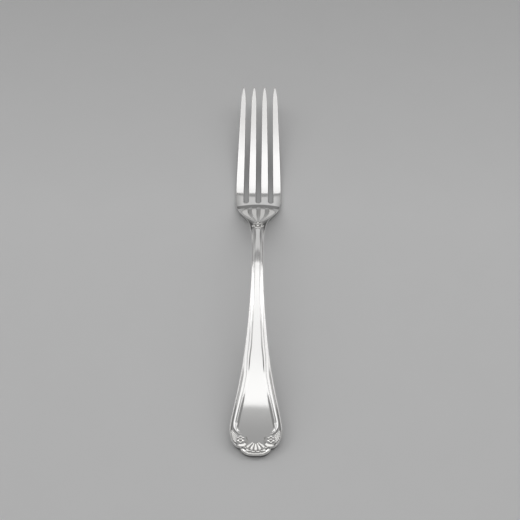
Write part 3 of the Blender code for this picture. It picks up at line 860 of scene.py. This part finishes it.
def rubbing_marks(tree, place):
    """Fine marks along the fork, from 0 to 1."""
    stretch = tree.nodes.new("ShaderNodeMapping")
    stretch.inputs["Scale"].default_value = MARK_STRETCH
    tree.links.new(place, stretch.inputs["Vector"])
    return noise(tree, stretch.outputs["Vector"], 1.0, MARK_DETAIL)


def silver(slot, base, dark, roughness):
    """Worn polished silver: faint waves and fine rubbing marks along the fork, and painted shade that
    darkens hollows, walls, grooves and tips.
    """
    material, tree, shader = new_material(f"{slot}_finish")
    material["slot"] = slot
    shader.inputs["Metallic"].default_value = 1.0
    place = tree.nodes.new("ShaderNodeTexCoord").outputs["Object"]
    marks = rubbing_marks(tree, place)
    fine = bump(tree, marks, MARK_STRENGTH, MARK_DEPTH)
    wavy = bump(tree, noise(tree, place, WAVE_SCALE, WAVE_DETAIL), WAVE_STRENGTH, WAVE_DEPTH)
    tree.links.new(fine.outputs["Normal"], wavy.inputs["Normal"])
    tree.links.new(wavy.outputs["Normal"], shader.inputs["Normal"])
    tree.links.new(remap(tree, marks, end=roughness), shader.inputs["Roughness"])
    tree.links.new(colour_with_painted_shade(tree, place, base, dark), shader.inputs["Base Color"])
    return material


def paper(name):
    """The matt pale grey of the table."""
    material, tree, shader = new_material(name)
    shader.inputs["Roughness"].default_value = TABLE_ROUGHNESS
    shader.inputs["Specular IOR Level"].default_value = TABLE_SPECULAR
    place = tree.nodes.new("ShaderNodeTexCoord").outputs["Object"]
    tone = remap(tree, noise(tree, place, GRAIN_SCALE, GRAIN_DETAIL), end=TABLE_TONES)
    # Painted shade: darker towards the far side
    fade = remap(tree, coordinates(tree, place)["Y"], FADE_Y, FADE_SHARES)
    tree.links.new(product(tree, tone, fade), shader.inputs["Base Color"])
    return material


# Stage, light and camera

FLOOR_SIZE = 4.0

# Panels of light overhead: a soft box in three parts, and a lamp on each side. Tones go from near to far
LIGHT_HEIGHT = 1.5
BOX_X = 0.25
BOX_SIDE_X = 0.80
LAMP_X = 2.00
BOX_Y = (-0.214, 0.845)
BOX_SIDE_Y = (-0.29, 0.845)
LAMP_Y = (0.50, 0.95)
BOX_RADIANCE = 1.06
LAMP_RADIANCE = 2.8
PANELS = {
    "soft_box": ((-BOX_X, BOX_X), BOX_Y, BOX_RADIANCE),
    "soft_box_left": ((-BOX_SIDE_X, -BOX_X), BOX_SIDE_Y, BOX_RADIANCE),
    "soft_box_right": ((BOX_X, BOX_SIDE_X), BOX_SIDE_Y, BOX_RADIANCE),
    "lamp_left": ((-LAMP_X, -BOX_SIDE_X), LAMP_Y, LAMP_RADIANCE),
    "lamp_right": ((BOX_SIDE_X, LAMP_X), LAMP_Y, LAMP_RADIANCE),
}
LIGHT_TONES = (
    (0.0, 1.0), (0.12, 0.96), (0.24, 0.88), (0.38, 0.88), (0.53, 0.92), (0.69, 0.97), (0.90, 0.99),
    (0.95, 0.90), (1.0, 0.99),
)

# The room: tones by the sine of the elevation, beyond the fork and behind the camera, and the far
# tones' shares from left to right
ROOM_GAIN = 1.55
ROOM_BLEND = 0.15
FAR_TONES = (
    (0.0, 0.20), (0.26, 0.20), (0.31, 0.58), (0.835, 0.58), (0.85, 0.30), (0.875, 0.30), (1.0, 0.40),
)
SIDE_SHARES = (
    (0.0, 1.0), (0.12, 0.9), (0.22, 0.3), (0.36, 0.26), (0.41, 0.65),
    (0.59, 0.65), (0.64, 0.26), (0.78, 0.3), (0.88, 0.9), (1.0, 1.0),
)
NEAR_TONES = (
    (0.0, 0.27), (0.30, 0.25), (0.55, 0.13), (0.85, 0.14), (0.97, 0.18), (0.989, 0.235), (0.995, 0.31),
    (1.0, 0.34),
)

CAMERA_TARGET = Vector((0.00085, -0.00155, 0.0))
CAMERA_DISTANCE = 0.2987
CAMERA_ELEVATION = math.radians(60)
CAMERA_TURN = 0.0080
CAMERA_LENS = 54.415
CAMERA_CLIP = 0.01


def make_stage():
    bpy.ops.mesh.primitive_plane_add(size=FLOOR_SIZE, location=(0.0, 0.0, 0.0))
    floor = bpy.context.object
    floor.name = "table"
    floor.data.materials.append(paper("table_paper"))


def glow(radiance):
    """The light of the panels, whose tones vary a little from near to far."""
    material, tree, shader = new_material("soft_box_glow")
    shader.inputs["Base Color"].default_value = 0.0, 0.0, 0.0, 1.0
    shader.inputs["Emission Strength"].default_value = radiance
    place = tree.nodes.new("ShaderNodeNewGeometry").outputs["Position"]
    along = remap(tree, coordinates(tree, place)["Y"], BOX_Y)
    tree.links.new(tone_ramp(tree, along, LIGHT_TONES), shader.inputs["Emission Color"])
    return material


def make_light():
    for name, (x, y, radiance) in PANELS.items():
        bpy.ops.mesh.primitive_plane_add(size=1.0, location=(sum(x) / 2, sum(y) / 2, LIGHT_HEIGHT))
        card = bpy.context.object
        card.name = name
        card.scale = x[1] - x[0], y[1] - y[0], 1.0
        card.data.materials.append(glow(radiance))


def make_room():
    """A room with a broad pale band beyond the fork, palest at both sides, and dim behind the camera."""
    world = bpy.data.worlds.new("room")
    world.use_nodes = True
    tree = world.node_tree
    toward = coordinates(tree, tree.nodes.new("ShaderNodeTexCoord").outputs["Generated"])
    share = tone_ramp(tree, remap(tree, toward["X"], (-1.0, 1.0)), SIDE_SHARES)
    far = product(tree, tone_ramp(tree, toward["Z"], FAR_TONES), share)
    near = tone_ramp(tree, toward["Z"], NEAR_TONES)
    mixed = tree.nodes.new("ShaderNodeMix")
    tree.links.new(remap(tree, toward["Y"], (-ROOM_BLEND, ROOM_BLEND)), mixed.inputs["Factor"])
    tree.links.new(near, mixed.inputs["A"])
    tree.links.new(far, mixed.inputs["B"])
    background = tree.nodes["Background"]
    tree.links.new(mixed.outputs["Result"], background.inputs["Color"])
    background.inputs["Strength"].default_value = ROOM_GAIN
    bpy.context.scene.world = world


def make_camera():
    """A camera that looks down at the fork from beyond its handle end."""
    lens = bpy.data.cameras.new("camera")
    lens.lens = CAMERA_LENS
    lens.clip_start = CAMERA_CLIP
    made = bpy.data.objects.new("camera", lens)
    flat = CAMERA_DISTANCE * math.cos(CAMERA_ELEVATION)
    back = Vector((
        flat * math.sin(CAMERA_TURN),
        -flat * math.cos(CAMERA_TURN),
        CAMERA_DISTANCE * math.sin(CAMERA_ELEVATION),
    ))
    made.location = CAMERA_TARGET + back
    made.rotation_euler = (-back).to_track_quat("-Z", "Y").to_euler()
    bpy.context.scene.collection.objects.link(made)
    bpy.context.scene.camera = made
    bpy.context.scene.view_settings.view_transform = "Standard"


def main():
    polished = silver("polished_silver", *POLISHED)
    chased = silver("chased_silver", *CHASED)
    make_handle(polished)
    make_head(polished)
    for name, (place, root_width) in TINES.items():
        make_tine(name, place, root_width, polished)
    rosette = ROSETTE_RADIUS, ROSETTE_HEIGHT
    for word, side in (("left", -1), ("right", 1)):
        make_rim(f"rim_thread_{word}", side, polished)
        make_thread(f"inner_thread_{word}", side, polished)
        make_lattice(f"lattice_{word}", side, chased)
        make_scroll(f"scroll_{word}", side, chased)
        place = side * ROSETTE_X, ROSETTE_STATION
        make_flower(f"rosette_{word}", place, rosette, ROSETTE_PETALS, LOBE_TILT, chased)
    make_fan(chased)
    floret = FLORET_RADIUS, FLORET_HEIGHT
    make_flower("neck_floret", (0.0, FLORET_STATION), floret, FLORET_PETALS, 0.0, chased)
    make_stage()
    make_light()
    make_room()
    make_camera()


main()
